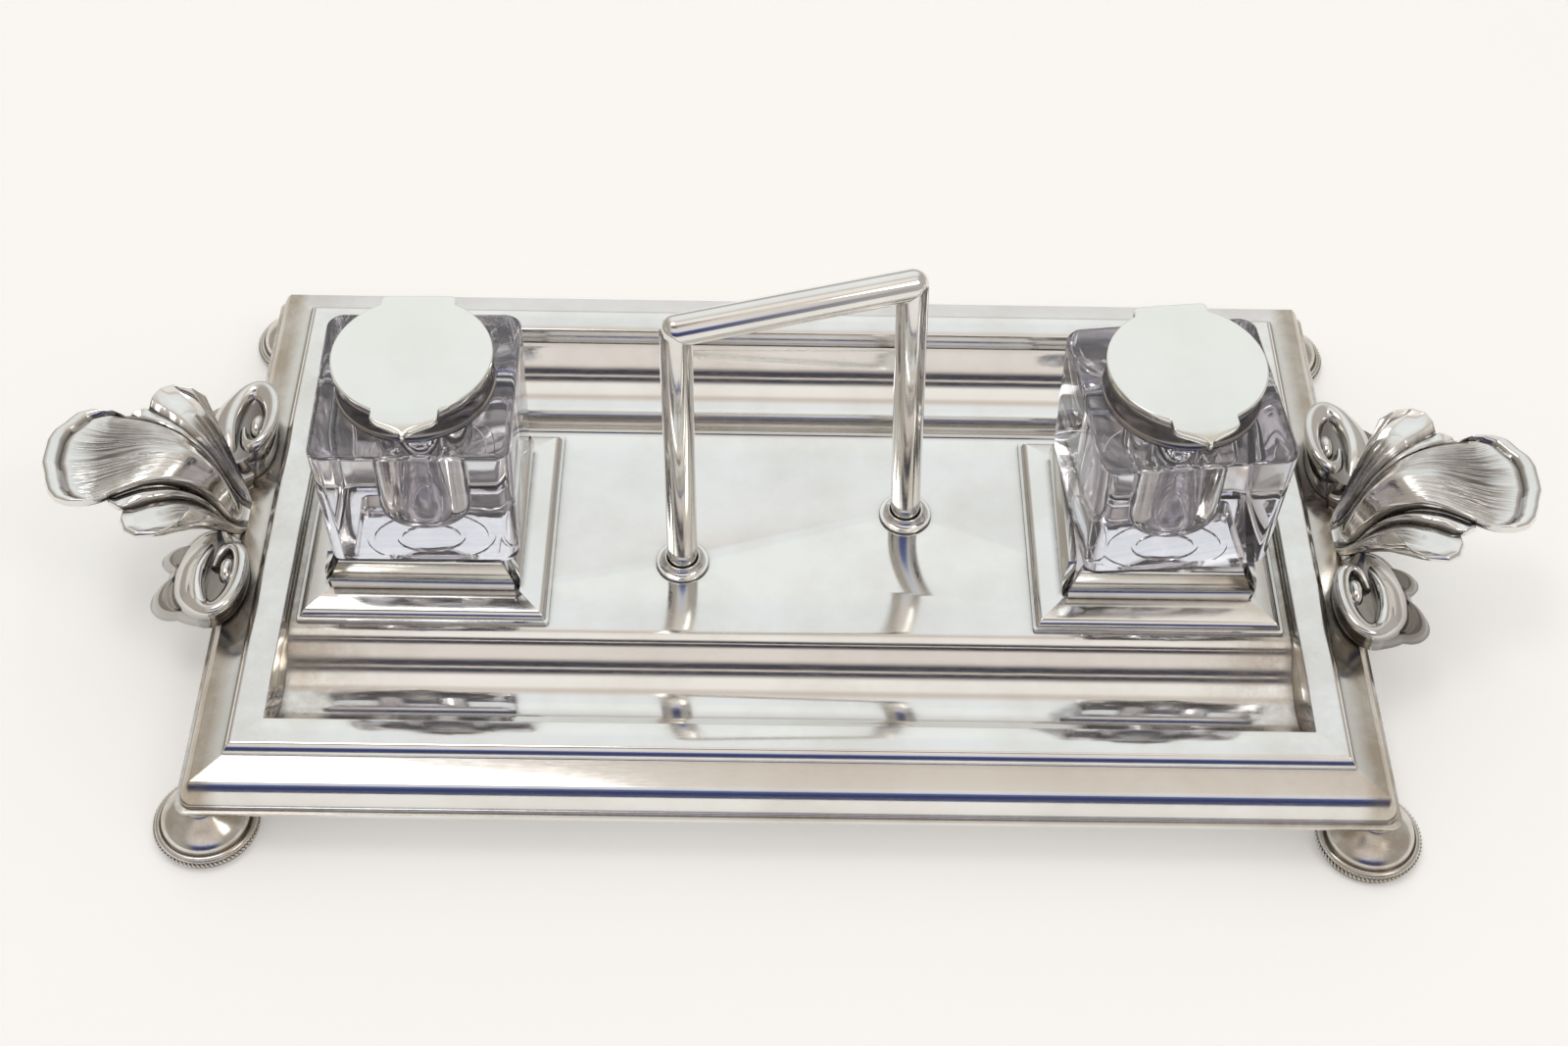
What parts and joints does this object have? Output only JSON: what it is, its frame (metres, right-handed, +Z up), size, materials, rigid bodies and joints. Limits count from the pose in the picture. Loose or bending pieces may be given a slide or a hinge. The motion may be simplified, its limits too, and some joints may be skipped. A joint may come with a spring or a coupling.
{
  "type": "desk inkstand",
  "caption": "Silver-plated desk inkstand: footed tray with pen troughs, square glass ink bottles with hinged lids in low galleries, a carrying handle and cast leaf end handles.",
  "frame": {"origin": "on the table, under the middle of the tray", "axes": "+X along the tray to its right end, +Y to the back, where the lids hinge, +Z up"},
  "size_m": [0.3924, 0.1944, 0.1091],
  "materials": {
    "pan_silver": "silver plate, polished, with warm tarnish in the hollows",
    "moulding_silver": "silver plate, polished, with warm tarnish in the hollows",
    "handle_silver": "silver plate, polished, with warm tarnish in the hollows",
    "foot_silver": "silver plate, polished, with warm tarnish in the hollows",
    "cast_silver": "silver plate, polished, with warm tarnish in the hollows",
    "collar_silver": "silver plate, polished, with warm tarnish in the hollows",
    "lid_silver": "silver plate, polished, with warm tarnish in the hollows",
    "bottle_glass": "thick clear glass",
    "fixing_steel": "plain"
  },
  "bodies": {
    "tray": {"tray_pan": "pan_silver", "border_front": "moulding_silver", "border_back": "moulding_silver", "border_left": "moulding_silver", "border_right": "moulding_silver", "gallery_left": "moulding_silver", "gallery_right": "moulding_silver", "gallery_rails_left": "moulding_silver", "gallery_rails_right": "moulding_silver", "handle_post_left": "handle_silver", "handle_post_right": "handle_silver", "handle_bar": "handle_silver", "handle_rose_left": "handle_silver", "handle_rose_right": "handle_silver", "handle_nuts": "fixing_steel", "foot_front_left": "foot_silver", "foot_front_right": "foot_silver", "foot_back_left": "foot_silver", "foot_back_right": "foot_silver", "foot_screws": "fixing_steel", "foot_nuts": "fixing_steel", "end_leaf_left": "cast_silver", "end_leaf_right": "cast_silver", "scroll_left_front": "cast_silver", "scroll_left_back": "cast_silver", "scroll_right_front": "cast_silver", "scroll_right_back": "cast_silver"},
    "bottle_left": {"bottle_left": "bottle_glass", "collar_left": "collar_silver", "hinge_pin_left": "fixing_steel"},
    "lid_left": {"lid_left": "lid_silver"},
    "bottle_right": {"bottle_right": "bottle_glass", "collar_right": "collar_silver", "hinge_pin_right": "fixing_steel"},
    "lid_right": {"lid_right": "lid_silver"}
  },
  "joints": [
    {"name": "bottle_left_lift", "type": "slide", "parent": "tray", "child": "bottle_left", "axis": [0, 0, 1], "range_m": [0, 0.06]},
    {"name": "lid_left_hinge", "type": "hinge", "parent": "bottle_left", "child": "lid_left", "pos_m": [-0.09537, 0.0191, 0.0829], "axis": [-0.9998, -0.0192, 0], "range_deg": [0, 105]},
    {"name": "bottle_right_lift", "type": "slide", "parent": "tray", "child": "bottle_right", "axis": [0, 0, 1], "range_m": [0, 0.06]},
    {"name": "lid_right_hinge", "type": "hinge", "parent": "bottle_right", "child": "lid_right", "pos_m": [0.09481, 0.01987, 0.0829], "axis": [-0.9934, -0.1149, 0], "range_deg": [0, 105]}
  ]
}
